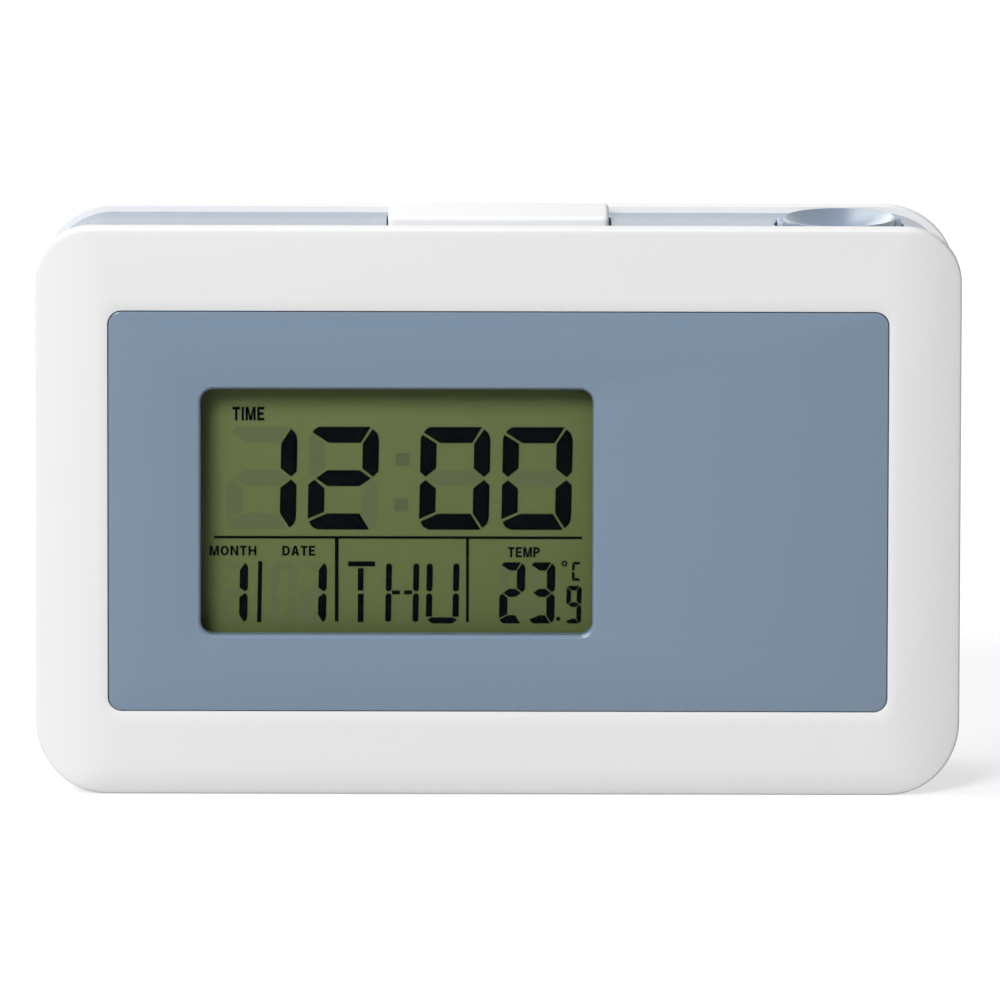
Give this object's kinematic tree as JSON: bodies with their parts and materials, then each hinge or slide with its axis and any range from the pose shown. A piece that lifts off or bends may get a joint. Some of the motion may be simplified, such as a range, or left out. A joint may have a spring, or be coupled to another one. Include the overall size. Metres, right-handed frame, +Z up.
{
  "type": "projection alarm clock",
  "caption": "White table alarm clock with a display window, a snooze bar and a tilting projector head in a channel along its top, and keys and a battery door on its back.",
  "frame": {"origin": "middle of the resting plane under the clock", "axes": "+X to the right seen from the front, +Y towards the back, +Z up"},
  "size_m": [0.14, 0.0324, 0.0879],
  "materials": {
    "white_shell": "fine satin",
    "blue_grey_shell": "fine satin",
    "clear_window": "polished",
    "clear_lens": "polished",
    "display_green": "satin",
    "light_guide": "frosted",
    "white_frame": "satin",
    "lamp_resin": "clear resin",
    "contact_rubber": "matt",
    "board_green": "solder mask",
    "black_plastic": "satin",
    "plunger_grey": "satin",
    "capacitor_sleeve": "shrink sleeve",
    "brown_resin": "dipped",
    "bright_steel": "plated",
    "cell_wrap": "printed sleeve, bare",
    "lead_jacket": "smooth",
    "ribbon_grey": "satin"
  },
  "bodies": {
    "case": {"front_bezel": "white_shell", "front_panel": "blue_grey_shell", "middle_frame": "blue_grey_shell", "rear_case": "white_shell", "display_window": "clear_window", "lcd_glass": "display_green", "lcd_backlight": "light_guide", "backlight_led": "lamp_resin", "lcd_holder": "white_frame", "contact_strip": "contact_rubber", "main_board": "board_green", "controller_chip": "black_plastic", "crystal": "bright_steel", "capacitors": "capacitor_sleeve", "resistors": "black_plastic", "buzzer": "black_plastic", "thermistor": "brown_resin", "lead_sockets": "white_frame", "board_screws": "bright_steel", "bezel_screws": "bright_steel", "case_screws": "bright_steel", "projector_lead": "lead_jacket", "snooze_switch": "black_plastic", "snooze_board": "board_green", "snooze_springs": "bright_steel", "snooze_screws": "bright_steel", "key_board": "board_green", "key_switches": "black_plastic", "key_board_screws": "bright_steel", "key_ribbon": "ribbon_grey", "switch_body": "bright_steel", "battery_cells": "cell_wrap", "battery_springs": "bright_steel", "battery_plates": "bright_steel", "battery_leads": "lead_jacket"},
    "snooze": {"snooze_bar": "white_shell", "snooze_plunger": "plunger_grey"},
    "projector": {"projector_head": "blue_grey_shell", "projector_lens": "clear_lens", "projector_lens_ring": "black_plastic", "projector_slide": "black_plastic", "projector_led": "lamp_resin", "projector_cap": "blue_grey_shell"},
    "door": {"battery_door": "white_shell"},
    "switch": {"switch_knob": "white_shell"},
    "mode_key": {"key_mode": "white_shell", "plunger_mode": "plunger_grey"},
    "set_key": {"key_set": "white_shell", "plunger_set": "plunger_grey"},
    "up_key": {"key_up": "white_shell", "plunger_up": "plunger_grey"},
    "down_key": {"key_down": "white_shell", "plunger_down": "plunger_grey"},
    "alarm_key": {"key_alarm": "white_shell", "plunger_alarm": "plunger_grey"}
  },
  "joints": [
    {"name": "snooze_press", "type": "slide", "parent": "case", "child": "snooze", "axis": [0, 0, -1], "range_m": [0, 0.0008], "stiffness_N_per_m": 400, "deforming": ["snooze_springs"]},
    {"name": "projector_tilt", "type": "hinge", "parent": "case", "child": "projector", "pos_m": [0.0516, -0.0032, 0.0846], "axis": [1, 0, 0], "range_deg": [-60, 60]},
    {"name": "battery_door_hinge", "type": "hinge", "parent": "case", "child": "door", "pos_m": [0, 0.0144, 0.0105], "axis": [-1, 0, 0], "range_deg": [0, 95]},
    {"name": "projection_switch_slide", "type": "slide", "parent": "case", "child": "switch", "axis": [1, 0, 0], "range_m": [0, 0.0025]},
    {"name": "mode_key_press", "type": "slide", "parent": "case", "child": "mode_key", "axis": [0, -1, 0], "range_m": [0, 0.0006], "stiffness_N_per_m": 300},
    {"name": "set_key_press", "type": "slide", "parent": "case", "child": "set_key", "axis": [0, -1, 0], "range_m": [0, 0.0006], "stiffness_N_per_m": 300},
    {"name": "up_key_press", "type": "slide", "parent": "case", "child": "up_key", "axis": [0, -1, 0], "range_m": [0, 0.0006], "stiffness_N_per_m": 300},
    {"name": "down_key_press", "type": "slide", "parent": "case", "child": "down_key", "axis": [0, -1, 0], "range_m": [0, 0.0006], "stiffness_N_per_m": 300},
    {"name": "alarm_key_press", "type": "slide", "parent": "case", "child": "alarm_key", "axis": [0, -1, 0], "range_m": [0, 0.0006], "stiffness_N_per_m": 300}
  ]
}
